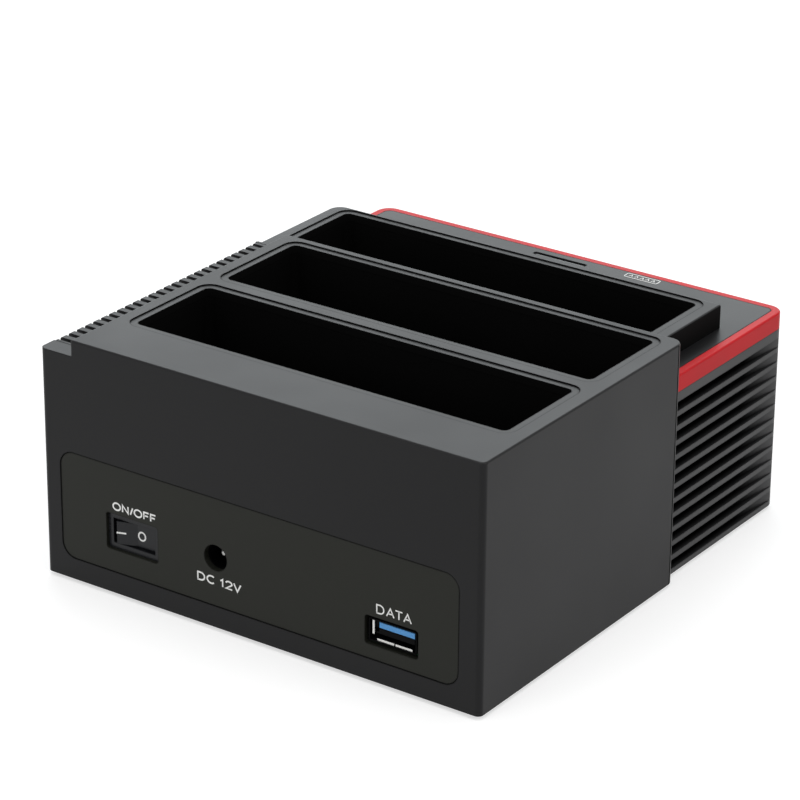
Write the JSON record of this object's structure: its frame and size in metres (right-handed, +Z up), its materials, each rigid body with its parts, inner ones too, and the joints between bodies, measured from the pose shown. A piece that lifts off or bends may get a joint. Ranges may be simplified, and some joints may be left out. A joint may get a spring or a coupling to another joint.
{
  "type": "drive duplicator dock",
  "caption": "Desktop drive duplicator dock with upright stepped drive bays, tapering ribbed flanks, a red rim, a vented strip and a rear port panel.",
  "frame": {"origin": "centre of the bounding box in plan, on the surface that the rubber feet stand on", "axes": "+Z up; the front with the console and red rim faces -Y, the rear port panel faces +Y, the vented strip is on +X"},
  "size_m": [0.1248, 0.1364, 0.063],
  "materials": {
    "grey_plastic": "fine-textured satin grey",
    "black_plastic": "satin black",
    "red_plastic": "satin red",
    "button_plastic": "satin grey",
    "dark_lens": "gloss, dark",
    "clear_plastic": "clear",
    "lamp_white": "gloss",
    "board_green": "coated board",
    "plated_steel": "plated",
    "screw_steel": "zinc plated",
    "gold_contact": "plated",
    "can_aluminium": "satin",
    "black_rubber": "matt"
  },
  "bodies": {
    "dock": {"rear_housing": "grey_plastic", "vent_grille": "grey_plastic", "port_panel": "grey_plastic", "front_shell": "grey_plastic", "front_deck": "grey_plastic", "front_panel": "grey_plastic", "base_plate": "grey_plastic", "switch_body": "black_plastic", "dc_jack_body": "black_plastic", "usb_tongue": "black_plastic", "bay_liner_1": "black_plastic", "bay_liner_2": "black_plastic", "bay_liner_3": "black_plastic", "sata_connector_1": "black_plastic", "sata_connector_2": "black_plastic", "sata_connector_3": "black_plastic", "hub_port_1_tongue": "black_plastic", "hub_port_2_tongue": "black_plastic", "tact_switch": "black_plastic", "board_header": "black_plastic", "controller_chip": "black_plastic", "bridge_chips": "black_plastic", "inductors": "black_plastic", "red_trim": "red_plastic", "indicator_window": "dark_lens", "light_pipes": "clear_plastic", "status_leds": "lamp_white", "button_board": "board_green", "hub_board": "board_green", "main_board": "board_green", "usb_shell": "plated_steel", "hub_port_1_shell": "plated_steel", "hub_port_2_shell": "plated_steel", "card_slot": "plated_steel", "dc_jack_pin": "plated_steel", "switch_tabs": "plated_steel", "crystal": "plated_steel", "button_board_screws": "screw_steel", "base_screws": "screw_steel", "board_screws": "screw_steel", "usb_contacts": "gold_contact", "hub_port_contacts": "gold_contact", "capacitors": "can_aluminium", "rubber_feet": "black_rubber"},
    "rocker": {"power_rocker": "black_plastic"},
    "button": {"backup_button": "button_plastic"}
  },
  "joints": [
    {"name": "rocker_tilt", "type": "hinge", "parent": "dock", "child": "rocker", "pos_m": [0.0361, 0.0643, 0.017], "axis": [0, 0, -1], "range_deg": [0, 20]},
    {"name": "button_press", "type": "slide", "parent": "dock", "child": "button", "axis": [0, 0, -1], "range_m": [0, 0.0008], "stiffness_N_per_m": 150, "springref_m": -0.0008}
  ]
}
